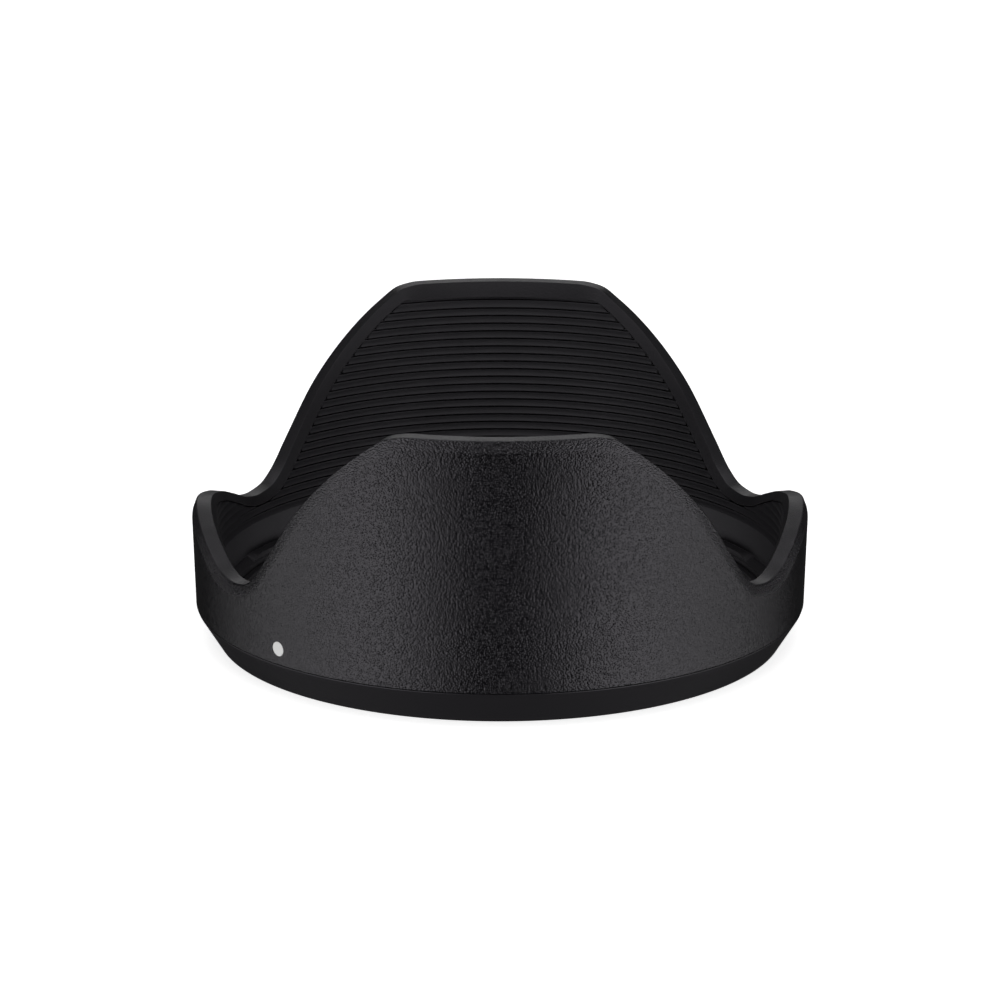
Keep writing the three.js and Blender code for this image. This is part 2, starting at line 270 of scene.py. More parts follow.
def buildMoldGrain():  # spark-eroded pebble grain of a mould, as a height
    group = bpy.data.node_groups.new("moldGrain", "ShaderNodeTree")
    groupSocket(group, "Grain Size", "INPUT", "NodeSocketFloat", 0.5)
    groupSocket(group, "Fine Amount", "INPUT", "NodeSocketFloat", 0.35)
    groupSocket(group, "Height", "OUTPUT", "NodeSocketFloat")
    nodes, links = group.nodes, group.links
    inputs = nodes.new("NodeGroupInput")
    outputs = nodes.new("NodeGroupOutput")
    place = nodes.new("ShaderNodeTexCoord")
    perMetre = nodes.new("ShaderNodeMath")
    perMetre.operation = "DIVIDE"
    perMetre.inputs[0].default_value = 1000.0
    links.new(inputs.outputs["Grain Size"], perMetre.inputs[1])
    warp = nodes.new("ShaderNodeTexNoise")
    warp.inputs["Detail"].default_value = 2.0
    links.new(place.outputs["Object"], warp.inputs["Vector"])
    links.new(perMetre.outputs[0], warp.inputs["Scale"])
    squash = nodes.new("ShaderNodeVectorMath")  # pebbles lie a little flatter round the wall
    squash.operation = "MULTIPLY"
    squash.inputs[1].default_value = (1.0, 1.0, 1.5)
    links.new(place.outputs["Object"], squash.inputs[0])
    stretch = nodes.new("ShaderNodeVectorMath")
    stretch.operation = "MULTIPLY_ADD"
    stretch.inputs[1].default_value = (0.0002, 0.0002, 0.0002)
    links.new(warp.outputs["Color"], stretch.inputs[0])
    links.new(squash.outputs[0], stretch.inputs[2])
    cells = nodes.new("ShaderNodeTexVoronoi")
    cells.feature = "SMOOTH_F1"
    cells.inputs["Smoothness"].default_value = 0.35
    links.new(stretch.outputs[0], cells.inputs["Vector"])
    links.new(perMetre.outputs[0], cells.inputs["Scale"])
    fineScale = nodes.new("ShaderNodeMath")
    fineScale.operation = "MULTIPLY"
    fineScale.inputs[1].default_value = 2.6
    links.new(perMetre.outputs[0], fineScale.inputs[0])
    fine = nodes.new("ShaderNodeTexNoise")
    fine.inputs["Detail"].default_value = 3.0
    fine.inputs["Roughness"].default_value = 0.6
    links.new(place.outputs["Object"], fine.inputs["Vector"])
    links.new(fineScale.outputs[0], fine.inputs["Scale"])
    turnOver = nodes.new("ShaderNodeMath")
    turnOver.operation = "SUBTRACT"
    turnOver.inputs[0].default_value = 1.0
    links.new(cells.outputs["Distance"], turnOver.inputs[1])
    mixed = nodes.new("ShaderNodeMath")
    mixed.operation = "MULTIPLY_ADD"
    links.new(fine.outputs["Fac"], mixed.inputs[0])
    links.new(inputs.outputs["Fine Amount"], mixed.inputs[1])
    links.new(turnOver.outputs[0], mixed.inputs[2])
    links.new(mixed.outputs[0], outputs.inputs["Height"])
    return group


def buildHandling():  # slow drift of tone and gloss, with a little dust
    group = bpy.data.node_groups.new("handling", "ShaderNodeTree")
    groupSocket(group, "Patch Size", "INPUT", "NodeSocketFloat", 14.0)
    groupSocket(group, "Base Tone", "INPUT", "NodeSocketColor", (0.03, 0.03, 0.03, 1))
    groupSocket(group, "Worn Tone", "INPUT", "NodeSocketColor", (0.05, 0.05, 0.05, 1))
    groupSocket(group, "Low Gloss", "INPUT", "NodeSocketFloat", 0.5)
    groupSocket(group, "High Gloss", "INPUT", "NodeSocketFloat", 0.4)
    groupSocket(group, "Tone", "OUTPUT", "NodeSocketColor")
    groupSocket(group, "Roughness", "OUTPUT", "NodeSocketFloat")
    nodes, links = group.nodes, group.links
    inputs = nodes.new("NodeGroupInput")
    outputs = nodes.new("NodeGroupOutput")
    place = nodes.new("ShaderNodeTexCoord")
    perMetre = nodes.new("ShaderNodeMath")
    perMetre.operation = "DIVIDE"
    perMetre.inputs[0].default_value = 1000.0
    links.new(inputs.outputs["Patch Size"], perMetre.inputs[1])
    patches = nodes.new("ShaderNodeTexNoise")
    patches.inputs["Detail"].default_value = 5.0
    patches.inputs["Roughness"].default_value = 0.55
    links.new(place.outputs["Object"], patches.inputs["Vector"])
    links.new(perMetre.outputs[0], patches.inputs["Scale"])
    spread = nodes.new("ShaderNodeMapRange")
    spread.inputs["From Min"].default_value = 0.3
    spread.inputs["From Max"].default_value = 0.7
    links.new(patches.outputs["Fac"], spread.inputs["Value"])
    tone = nodes.new("ShaderNodeMix")
    tone.data_type = "RGBA"
    links.new(spread.outputs[0], tone.inputs["Factor"])
    colourIn = [s for s in tone.inputs if s.type == "RGBA"]
    links.new(inputs.outputs["Base Tone"], colourIn[0])
    links.new(inputs.outputs["Worn Tone"], colourIn[1])
    gloss = nodes.new("ShaderNodeMapRange")
    links.new(spread.outputs[0], gloss.inputs["Value"])
    links.new(inputs.outputs["Low Gloss"], gloss.inputs["To Min"])
    links.new(inputs.outputs["High Gloss"], gloss.inputs["To Max"])
    colourOut = [s for s in tone.outputs if s.type == "RGBA"][0]
    links.new(colourOut, outputs.inputs["Tone"])
    links.new(gloss.outputs[0], outputs.inputs["Roughness"])
    return group


moldGrain = buildMoldGrain()
handling = buildHandling()


def placeGroup(nodes, group, **values):
    node = nodes.new("ShaderNodeGroup")
    node.node_tree = group
    for key, value in values.items():
        node.inputs[key].default_value = value
    return node


def wornFinish(name, look):  # what plastics and metals share: drifting tone and gloss, and a bumped grain
    material, nodes, links, shader = newMaterial(name)
    worn = placeGroup(nodes, handling, **{
        "Patch Size": look["patch"], "Base Tone": (*look["tone"], 1), "Worn Tone": (*look["wornTone"], 1),
        "Low Gloss": look["rough"], "High Gloss": look["roughHigh"],
    })
    grain = placeGroup(nodes, moldGrain, **{"Grain Size": look["grain"], "Fine Amount": look["fine"]})
    bump = nodes.new("ShaderNodeBump")
    bump.inputs["Strength"].default_value = look["bump"]
    bump.inputs["Distance"].default_value = look["depth"] * mm
    links.new(grain.outputs["Height"], bump.inputs["Height"])
    links.new(bump.outputs["Normal"], shader.inputs["Normal"])
    links.new(worn.outputs["Tone"], shader.inputs["Base Color"])
    links.new(worn.outputs["Roughness"], shader.inputs["Roughness"])
    return material, shader


coolSheen = (0.962, 0.927, 1.0)  # the black plastics' highlights are faintly violet


def moldedPlastic(name, look):
    material, shader = wornFinish(name, look)
    shader.inputs["Specular IOR Level"].default_value = look["specular"]
    shader.inputs["Specular Tint"].default_value = (*look.get("sheen", coolSheen), 1)
    return material


def metal(name, look):
    material, shader = wornFinish(name, look)
    shader.inputs["Metallic"].default_value = 1.0
    return material


# tone is linear colour; patch, grain and depth are in mm; rough and roughHigh are the two ends of the gloss
grainedWall = moldedPlastic("grainedWall", dict(
    tone=(0.0034, 0.0031, 0.0039), wornTone=(0.0045, 0.0041, 0.0051), patch=16, rough=0.19, roughHigh=0.16,
    grain=0.32, fine=0.12, bump=1.0, depth=0.087, specular=0.44,
))
# the outer bevel is the grained wall's plastic with a lighter tone: painted light, standing in for the extra
# light its upward tilt catches
grainedBevelPaintedLight = moldedPlastic("grainedBevelPaintedLight", dict(
    tone=(0.0044, 0.0041, 0.0050), wornTone=(0.0058, 0.0054, 0.0066), patch=12, rough=0.30, roughHigh=0.26,
    grain=0.32, fine=0.12, bump=1.0, depth=0.098, specular=0.60,
))
satinRim = moldedPlastic("satinRim", dict(
    tone=(0.0062, 0.0058, 0.0070), wornTone=(0.0082, 0.0077, 0.0092), patch=12, rough=0.44, roughHigh=0.38,
    grain=0.22, fine=0.3, bump=0.6, depth=0.04, specular=0.46,
))
plainBorder = moldedPlastic("plainBorder", dict(
    tone=(0.0052, 0.0049, 0.0058), wornTone=(0.0068, 0.0064, 0.0075), patch=12, rough=0.5, roughHigh=0.45,
    grain=0.34, fine=0.4, bump=0.4, depth=0.05, specular=0.42,
))
linerMatt = moldedPlastic("linerMatt", dict(
    tone=(0.0070, 0.0067, 0.0079), wornTone=(0.0090, 0.0086, 0.0101), patch=9, rough=0.56, roughHigh=0.50,
    grain=0.18, fine=0.8, bump=0.25, depth=0.012, specular=0.45,
))
smoothBand = moldedPlastic("smoothBand", dict(
    tone=(0.0066, 0.0061, 0.0074), wornTone=(0.0088, 0.0082, 0.0096), patch=18, rough=0.40, roughHigh=0.35,
    grain=0.20, fine=0.8, bump=0.16, depth=0.02, specular=0.5,
))
springSteel = metal("springSteel", dict(
    tone=(0.36, 0.37, 0.38), wornTone=(0.46, 0.46, 0.45), patch=2.0, rough=0.34, roughHigh=0.24,
    grain=0.12, fine=1.0, bump=0.2, depth=0.01,
))
blackOxide = metal("blackOxide", dict(
    tone=(0.050, 0.050, 0.055), wornTone=(0.11, 0.105, 0.10), patch=0.8, rough=0.46, roughHigh=0.34,
    grain=0.14, fine=1.0, bump=0.2, depth=0.01,
))
markPaint = moldedPlastic("markPaint", dict(
    tone=(0.88, 0.88, 0.87), wornTone=(0.94, 0.94, 0.93), patch=1.5, rough=0.5, roughHigh=0.42,
    grain=0.25, fine=0.8, bump=0.2, depth=0.02, specular=0.5, sheen=(1, 1, 1),
))
print("materials made")


# outer shell

shell = dict(
    longSection=[  # rim of the long petals' tops: inset from the wall, drop below the rim, corner radius
        (0.0, 1.77, 4.0), (0.28, 0.0, 0.16), (2.62, 0.0, 0.11), (3.86, 2.42, 0.10), (2.35, 2.42, 0.0),
    ],
    shortSection=[  # rim everywhere else
        (0.0, 1.72, 2.5), (0.70, 0.0, 0.45), (3.02, 0.0, 0.11), (3.86, 1.42, 0.10), (2.35, 1.42, 0.0),
    ],
    sectionTurn=(20, 58),  # azimuths between which the outer part of one becomes the other
    borderTurn=(15, 24),
    wallRows=26,
    backRows=8,
    footRound=0.16,
    ledge=dict(outer=43.3, inner=41.5, lip=6.2, height=6.8, round=0.12),
    boss=dict(inner=41.75, outer=43.38, halfAngle=8.5, ramp=3.0, top=7.0),
    backInset=2.35,
)
thirdTurns = (0, 120, 240)


def bossLift(azimuth):  # 1 on the bosses over the click springs, 0 between them
    form = shell["boss"]
    lift = 0 * azimuth
    for centre in thirdTurns:
        off = np.abs(np.mod(azimuth - centre + 180, 360) - 180)
        lift = np.maximum(lift, np.clip((form["halfAngle"] - off) / form["ramp"], 0, 1))
    return lift


def ledgeZ(r):
    form = shell["ledge"]
    slope = (form["height"] - form["lip"]) / (form["outer"] - form["inner"])
    return form["lip"] + slope * (min(r, form["outer"]) - form["inner"])


def bossRow(r, raised):
    flat = ledgeZ(r)
    top = shell["boss"]["top"] if raised else flat
    return lambda azimuth: (azimuth, flat + (top - flat) * bossLift(azimuth), r + 0 * azimuth)


def buildShell():
    columns = np.arange(hood["columns"]) * 360 / hood["columns"]
    foot = hood["shoulderHeight"] + 0.02
    arc = 6
    longSide = rounded([(0.0, 6.0, 0), *shell["longSection"]], arc)[1:]
    shortSide = rounded([(0.0, 6.0, 0), *shell["shortSection"]], arc)[1:]
    bevelStart, topStart, borderStart = arc // 2, arc + 1 + arc // 2, 3 * (arc + 1)

    def between(k, axis):
        turn = shell["borderTurn"] if k >= borderStart else shell["sectionTurn"]
        return lambda azimuth: (
            longSide[k][axis] + (shortSide[k][axis] - longSide[k][axis]) * fromLongPetal(azimuth, *turn)
        )

    rows, bands = [], []

    def add(row, band):
        rows.append(row)
        bands.append(band)

    footLine = rounded([
        (shell["ledge"]["inner"], foot, 0), (wallRadius(foot), foot, shell["footRound"]),
        (wallRadius(foot + 2), foot + 2, 0),
    ], 5)[1:-1]
    for r, z in footLine:
        add(levelRow(r, z), 0)
    wallFoot = footLine[-1][1]
    for k in range(1, shell["wallRows"] + 1):
        add(wallRow(wallFoot, 0.0, between(0, 1), k / (shell["wallRows"] + 1)), 0)
    for k in range(len(longSide)):
        band = 0 if k < bevelStart else 1 if k < topStart else 2 if k < borderStart - arc // 2 else 3
        add(rimRow(between(k, 0), between(k, 1)), band)
    last = len(longSide) - 1
    for k in range(shell["backRows"], 0, -1):
        share = k / (shell["backRows"] + 1)
        add(wallRow(shell["ledge"]["height"], shell["backInset"], between(last, 1), share), 3)
    form = shell["ledge"]
    boss = shell["boss"]
    add(levelRow(wallRadius(form["height"]) - shell["backInset"], form["height"]), 3)
    add(levelRow(form["outer"] + 0.2, form["height"]), 3)
    add(bossRow(boss["outer"] + 0.05, False), 3)
    add(bossRow(boss["outer"], True), 3)
    add(bossRow(boss["inner"] + 0.05, True), 3)
    add(bossRow(boss["inner"], False), 3)
    for r, z in rounded([
        (boss["inner"], ledgeZ(boss["inner"]), 0), (form["inner"], form["lip"], form["round"]),
        (form["inner"], foot, 0),
    ], 4)[1:]:
        add(levelRow(r, z), 3)
    # band 1, the outer bevel, gets the wall's grain in a lighter tone as painted light
    mesh = gridMesh("petalShell", rows, columns, bands)
    return makeObject("petalShell", mesh, [grainedWall, grainedBevelPaintedLight, satinRim, plainBorder])


petalShell = buildShell()

dotLow, dotHigh = nodeBox("index_dot")
dotCentre = (dotLow + dotHigh) / 2
indexDot = dict(
    azimuth=degrees(atan2(dotCentre[0], -dotCentre[1])),
    height=dotCentre[2],
    radius=(dotHigh[2] - dotLow[2]) / 2,
    seat=0.02,  # how far the paint lies below the wall
    gap=0.035,
    depth=0.6,
)
wallLean = degrees(atan2(hood["taper"], 1))


def dotFrame(out):
    lean = Matrix.Rotation(radians(wallLean), 4, "X")
    return aimOut(indexDot["azimuth"], wallRadius(indexDot["height"]) + out, indexDot["height"]) @ lean


def buildDot():
    edge = 0.08
    r = indexDot["radius"]
    seatMesh = latheMesh("dotSeat", [
        (0, -indexDot["depth"]), (r + indexDot["gap"], -indexDot["depth"]), (r + indexDot["gap"], 0.0),
        (r + indexDot["gap"] + 0.4, 0.4), (0, 0.4),
    ], 64)
    cutter = makeObject("dotSeat", seatMesh, [])
    cutter.matrix_world = dotFrame(0)
    carve(petalShell, [cutter])
    sharpen(petalShell.data, 32)
    face = [(0, 0.02), (r * 0.6, 0.012)]
    face += [(r - edge + edge * sin(a), -edge + edge * cos(a)) for a in np.linspace(0, pi / 2, 5)]
    mesh = latheMesh("indexDot", [*face, (r, 0.04 - indexDot["depth"]), (0, 0.04 - indexDot["depth"])], 96)
    dot = makeObject("indexDot", mesh, [markPaint])
    dot.matrix_world = dotFrame(-indexDot["seat"])
    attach(dot, "hood")
    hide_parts("index_dot")


buildDot()
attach(petalShell, "hood")
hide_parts("petal_shell")
print("shell and index dot made")


# ribbed liner

liner = dict(
    foot=nodeBox("ribbed_liner")[0][2],
    backInset=2.60,
    faceInset=3.86,
    edgeGap=0.17,  # below the shell's border
    topRib=40.42,  # height of the first crest under the long petals' border
    pitch=1.265,
    topSpace=1.2,
    ribs=24,
    ribDepth=0.46,
    slotDepth=0.95,  # the slot under each crest
    slotHigh=0.33,  # its height as a share of the pitch
    slotShape=((0.0, 0.0), (0.02, 0.75), (0.06, 1.0), (0.28, 1.0), (0.33, 0.0)),  # share of pitch, of depth
    crestSlope=40,  # how steeply the hollow starts just under a crest
    steps=(0.0, 0.02, 0.06, 0.28, 0.32, 0.34, 0.36, 0.45, 0.56, 0.68, 0.80, 0.92, 0.98),
    curve=1.7,  # how much a rib's face leans back towards its crest
    footEdge=0.2,  # small chamfer where it meets the ledge
)


def ribHollow(z):  # depth of the ribs' hollows at a height; the one above the first crest is deeper
    form = liner
    t = np.mod((form["topRib"] - z) / form["pitch"], 1.0)
    above = 1 - (z - form["topRib"]) / (form["topSpace"] * form["pitch"])
    t = np.where(z > form["topRib"], above, t)
    low = form["topRib"] - form["pitch"] * (form["ribs"] - 1)
    down = np.clip((t - form["slotHigh"]) / (1 - form["slotHigh"]), 0, 1)
    face = form["ribDepth"] * (1 - down ** form["curve"])
    slot = np.interp(t, *zip(*form["slotShape"])) * form["slotDepth"]
    slot = np.maximum(slot, np.minimum(face, t * form["crestSlope"]))
    hollow = np.where(t < form["slotHigh"], slot, face)
    return np.where(z > low - 1e-9, hollow, 0.0)


def buildLiner():
    form = liner
    columns = np.arange(hood["columns"]) * 360 / hood["columns"]
    fine = np.arange(-30, 390, 0.1)
    longDrop, shortDrop = (shell[side][3][1] + form["edgeGap"] for side in ("longSection", "shortSection"))
    edgeDrop = longDrop + (shortDrop - longDrop) * fromLongPetal(fine, *shell["borderTurn"])
    edgeAzimuth, edgeZ = belowRim(fine, edgeDrop)
    top = np.interp(columns, edgeAzimuth, edgeZ)

    def clippedRow(level):
        def place(azimuth):
            z = np.minimum(level, top)
            return azimuth, z, wallRadius(z) - form["faceInset"] + ribHollow(z - 1e-6)
        return place

    def backRow(t):
        def place(azimuth):
            z = form["foot"] + (top - form["foot"]) * t
            return azimuth, z, wallRadius(z) - form["backInset"]
        return place

    rows = [backRow(t) for t in np.linspace(0, 1, 7)]
    space = form["topSpace"] * form["pitch"]
    levels = [form["topRib"] + space * (1 - t) for t in form["steps"]]
    for rib in range(form["ribs"]):
        levels += [form["topRib"] - form["pitch"] * (rib + t) for t in form["steps"]]
    floor = form["topRib"] - form["pitch"] * (form["ribs"] - 1)
    levels = [z for z in levels if z > floor - 1e-6] + [floor - 1e-4]
    rows += [clippedRow(z) for z in levels]
    foot = shell["ledge"]["height"] + 0.02
    inner = wallRadius(foot) - form["faceInset"]
    edge = form["footEdge"]
    rows.append(levelRow(wallRadius(floor - 0.2) - form["faceInset"], floor - 0.2))
    rows.append(levelRow(inner, foot + edge))
    rows.append(levelRow(inner - edge, foot + 0.1 * edge))
    rows.append(levelRow(inner - edge, foot))
    rows.append(levelRow(wallRadius(foot) - form["backInset"], foot))
    mesh = gridMesh("ribbedLiner", rows, columns, None, 3e-6, 28)
    piece = makeObject("ribbedLiner", mesh, [linerMatt])
    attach(piece, "hood")
    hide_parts("ribbed_liner")


buildLiner()
print("liner made")


# mount ring

ring = dict(
    bore=40.6,
    lugRadius=39.7,
    lugCentres=(60, 180, 300),
    lugHalf=12.0,
    lugRamp=1.6,
    lugLow=1.9,
    lugHigh=3.7,
    pocketOuter=42.75,
    pocketHalf=13.5,
    pocketLow=1.2,
    pocketHigh=4.3,
    top=hood["shoulderHeight"] - 0.03,
    edge=0.3,
    topRound=0.12,
    baseRound=0.25,
    edgeBevel=0.06,
    coneRows=(1.2, 2.2, 3.2, 4.2),
    screwHole=[(0, -1), (1.1, -1), (1.1, 0.8), (0.7, 0.8), (0.7, 7), (0, 7)],  # radius, height
    pinHole=[(0, -3), (0.66, -3), (0.66, 2), (0, 2)],
    pinStart=41.7,
)
screwCircle = 42.4
ringScrewAzimuths = (30, 90, 150, 210, 270, 330)


def angleOff(azimuth, centre):
    return np.abs(np.mod(azimuth - centre + 180, 360) - 180)


def buildRing():
    form = ring
    steps = np.arange(720) * 0.5
    sides = []
    for centre in thirdTurns:
        for edge in (centre - form["pocketHalf"], centre + form["pocketHalf"]):
            sides += [(edge - 1e-4) % 360, (edge + 1e-4) % 360]
    columns = np.array(sorted(set(steps.tolist() + sides)))
    inPocket = np.zeros(len(columns), bool)
    for centre in thirdTurns:
        inPocket |= angleOff(columns, centre) < form["pocketHalf"]
    lugShare = 0 * columns
    for centre in form["lugCentres"]:
        share = (form["lugHalf"] - angleOff(columns, centre)) / form["lugRamp"]
        lugShare = np.maximum(lugShare, np.clip(share, 0, 1))
    lugFace = form["bore"] - (form["bore"] - form["lugRadius"]) * lugShare

    def boreRow(z, pocket, lug):
        r = form["bore"] + 0 * columns
        if lug:
            r = lugFace
        if pocket:
            r = np.where(inPocket, form["pocketOuter"], r)
        return lambda azimuth: (azimuth, z + 0 * azimuth, r)

    outer = rounded([
        (form["bore"] + 1.5, 0, 0), (form["bore"] + 2.9, 0, 0), (hood["baseRadius"], 0, form["baseRound"]),
        (coneRadius(form["top"]), form["top"], form["topRound"]), (form["bore"] + 1, form["top"], 0),
    ], 6)
    rows = [levelRow(r, z) for r, z in outer]
    cone = [levelRow(coneRadius(z), z) for z in form["coneRows"]]
    coneStart = 2 + 7  # two corners and the base's rounding come before the cone
    rows = rows[:coneStart] + cone + rows[coneStart:]
    rows += [
        levelRow(form["bore"], form["top"]),
        boreRow(form["pocketHigh"], False, False), boreRow(form["pocketHigh"], True, False),
        boreRow(form["lugHigh"], True, False), boreRow(form["lugHigh"], True, True),
        boreRow(form["lugLow"], True, True), boreRow(form["lugLow"], True, False),
        boreRow(form["pocketLow"], True, False), boreRow(form["pocketLow"], False, False),
        levelRow(form["bore"], form["edge"]), levelRow(form["bore"] + form["edge"], 0),
    ]
    mesh = gridMesh("mountRing", rows, columns, None, 5e-7, 30)
    piece = makeObject("mountRing", mesh, [smoothBand])
    cutters = []
    for azimuth in ringScrewAzimuths:
        hole = latheMesh("hole", form["screwHole"], 40)
        cutter = makeObject("hole", hole, [])
        cutter.matrix_world = Matrix.Translation(Vector(polar(screwCircle, azimuth, 0.0) * mm))
        cutters.append(cutter)
    pinLow, pinHigh = nodeBox("stop_pin")
    pinMiddle = (pinLow + pinHigh) / 2
    pinHole = makeObject("hole", latheMesh("hole", form["pinHole"], 40), [])
    pinHole.matrix_world = aimOut(degrees(atan2(pinMiddle[0], -pinMiddle[1])), form["pinStart"], pinMiddle[2])
    cutters.append(pinHole)
    carve(piece, cutters)
    bevel = piece.modifiers.new("edges", "BEVEL")
    bevel.width = form["edgeBevel"] * mm
    bevel.segments = 2
    bevel.limit_method = "ANGLE"
    bevel.angle_limit = radians(40)
    bevel.use_clamp_overlap = True
    sharpen(piece.data, 30)
    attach(piece, "hood")
    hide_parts("mount_ring")


buildRing()
print("mount ring made")


# click springs

leaf = dict(
    line=[  # offset from the pocket's middle, radius of the leaf's middle line
        (12.4, 42.4), (9.5, 42.4), (6.4, 42.4), (1, 41.9), (-4.5, 41.15), (-6.6, 40.5), (-8, 40.2),
        (-9.4, 40.5), (-11.4, 41.25),
    ],
    thickness=0.3,
    low=1.75,
    high=3.75,
    steps=90,
    endRound=0.55,
    rootAzimuth=9.5,
    screwSpread=1.75,
    screwFace=41.55,  # radius of the screws' faces
    edgeBevel=0.05,
)


def throughPoints(points, steps):  # smooth curve through points, evenly spread
    points = [np.array(p, float) for p in points]
    points = [2 * points[0] - points[1], *points, 2 * points[-1] - points[-2]]
    fine = []
    for a, b, c, d in zip(points, points[1:], points[2:], points[3:]):
        k0, k1, k2 = (sqrt(np.linalg.norm(q - p)) for p, q in ((a, b), (b, c), (c, d)))
        m1 = (c - b) + k1 * ((b - a) / k0 - (c - a) / (k0 + k1))
        m2 = (c - b) + k1 * ((d - c) / k2 - (d - b) / (k1 + k2))
        for t in np.linspace(0, 1, 24, endpoint=False):
            h = t * t * (3 - 2 * t)
            fine.append(b + (c - b) * h + t * (1 - t) * ((1 - t) * m1 - t * m2))
    fine.append(points[-2])
    fine = np.array(fine)
    run = np.concatenate([[0], np.cumsum(np.linalg.norm(np.diff(fine, axis=0), axis=1))])
    marks = np.linspace(0, run[-1], steps)
    return np.stack([np.interp(marks, run, fine[:, k]) for k in range(2)], axis=1), marks


def buildLeaf(number, centre):
    form = leaf
    flat = [polar(r, centre + offset, 0.0)[:2] for offset, r in form["line"]]
    path, marks = throughPoints(flat, form["steps"])
    along = np.gradient(path, axis=0)
    along /= np.linalg.norm(along, axis=1)[:, None]
    across = np.stack([-along[:, 1], along[:, 0]], axis=1) * form["thickness"] / 2
    half = (form["high"] - form["low"]) / 2
    middle = (form["high"] + form["low"]) / 2
    fromEnd = np.minimum(marks, marks[-1] - marks)
    corner = np.clip(fromEnd / form["endRound"], 0, 1)
    width = half - form["endRound"] * (1 - np.sqrt(1 - (1 - corner) ** 2)) * 0.9
    loops = []
    levels = (-1, -0.5, 0, 0.5, 1)
    for side, order in ((1, levels), (-1, levels[::-1])):
        for level in order:
            loops.append(np.column_stack([path + across * side, middle + width * level]))
    grid = np.stack(loops, axis=1) * mm
    steps, around = grid.shape[:2]
    index = np.arange(steps * around).reshape(steps, around)
    turned = np.roll(index, -1, axis=1)
    faces = np.stack([index[:-1], turned[:-1], turned[1:], index[1:]], axis=-1).reshape(-1, 4).tolist()
    faces += [index[0][::-1].tolist(), index[-1].tolist()]
    mesh = bpy.data.meshes.new(f"leafSpring{number}")
    mesh.from_pydata(grid.reshape(-1, 3).tolist(), [], faces)
    bm = bmesh.new()
    bm.from_mesh(mesh)
    bmesh.ops.recalc_face_normals(bm, faces=bm.faces)
    bm.to_mesh(mesh)
    bm.free()
    sharpen(mesh, 40)
    piece = makeObject(f"leafSpring{number}", mesh, [springSteel])
    bevel = piece.modifiers.new("edges", "BEVEL")
    bevel.width = form["edgeBevel"] * mm
    bevel.segments = 2
    bevel.limit_method = "ANGLE"
    bevel.angle_limit = radians(45)
    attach(piece, f"click_spring_{number}")
    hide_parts(f"click_spring_{number}")


for number, centre in enumerate(thirdTurns, 1):
    buildLeaf(number, centre)
print("click springs made")


# screws and stop pin

def barCutter(arm, width, depth):  # one tapered bar of the cross recess
    bm = bmesh.new()
    corners = []
    above, narrowing = 0.05, 0.55  # it starts clear of the head and narrows towards its floor
    for z, across, along in ((above, width, arm), (-depth, width * narrowing, arm * narrowing)):
        for x, y in ((-along, -across), (along, -across), (along, across), (-along, across)):
            corners.append(bm.verts.new(Vector((x, y / 2, z)) * mm))
    top, bottom = corners[:4], corners[4:]
    bm.faces.new(top)
    bm.faces.new(bottom[::-1])
    for i in range(4):
        j = (i + 1) % 4
        bm.faces.new((top[j], top[i], bottom[i], bottom[j]))
    bmesh.ops.recalc_face_normals(bm, faces=bm.faces)
    mesh = bpy.data.meshes.new("crossRecess")
    bm.to_mesh(mesh)
    bm.free()
    return mesh


def screwMesh(name, form):  # head's face at z 0, looking along +Z; the shaft runs down
    head, shaft, point = form["head"], form["shaft"], 0.2
    profile = rounded([
        (0, 0, 0), (head, -form["dome"], form["dome"] * 0.8), (head, -form["headDepth"], 0),
        (shaft, -form["headDepth"], 0), (shaft, -form["length"] + point, 0),
        (shaft - point, -form["length"], 0), (0, -form["length"], 0),
    ], 5)
    body = makeObject(name, latheMesh(name, profile, 48), [blackOxide])
    cutters = []
    for turn in (0, pi / 2):
        cutter = makeObject("recess", barCutter(form["arm"], form["slot"], form["recess"]), [])
        cutter.matrix_world = Matrix.Rotation(turn, 4, "Z")
        cutters.append(cutter)
    carve(body, cutters)
    mesh = body.data
    sharpen(mesh, 30)
    bpy.data.objects.remove(body)
    return mesh


leafScrew = dict(
    head=0.85, headDepth=0.55, dome=0.14, shaft=0.5, length=2.7, arm=0.5, slot=0.22, recess=0.28,
    turn=37,  # each next screw stops this much further round, in degrees
)
ringScrew = dict(
    head=1.0, headDepth=0.52, dome=0.10, shaft=0.6, length=5.9, arm=0.62, slot=0.26, recess=0.34,
    turn=51, firstTurn=23,
)
stopPin = dict(start=39.9, length=3.6, endRound=0.18, rootRound=0.12)
leafScrewMesh = screwMesh("leafScrew", leafScrew)
ringScrewMesh = screwMesh("ringScrew", ringScrew)


def placeScrew(name, node, mesh, spot):
    piece = makeObject(name, mesh.copy(), [])
    piece.matrix_world = spot
    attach(piece, "hood")
    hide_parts(node)


leafMiddle = (leaf["low"] + leaf["high"]) / 2
number = 0
for centre in thirdTurns:
    for side in (-1, 1):
        number += 1
        azimuth = centre + leaf["rootAzimuth"] + side * leaf["screwSpread"]
        facing = aimOut(azimuth, leaf["screwFace"], leafMiddle) @ Matrix.Rotation(pi, 4, "X")
        turned = facing @ Matrix.Rotation(radians(leafScrew["turn"] * number), 4, "Z")
        placeScrew(f"leafScrew{number}", f"spring_screw_{number}", leafScrewMesh, turned)

for number, azimuth in enumerate(ringScrewAzimuths, 1):
    low, high = nodeBox(f"ring_screw_{number}")
    middle = (low + high) / 2 * mm
    spot = Matrix.Translation((middle[0], middle[1], low[2] * mm)) @ Matrix.Rotation(pi, 4, "X")
    turned = spot @ Matrix.Rotation(radians(ringScrew["firstTurn"] + ringScrew["turn"] * number), 4, "Z")
    placeScrew(f"ringScrew{number}", f"ring_screw_{number}", ringScrewMesh, turned)


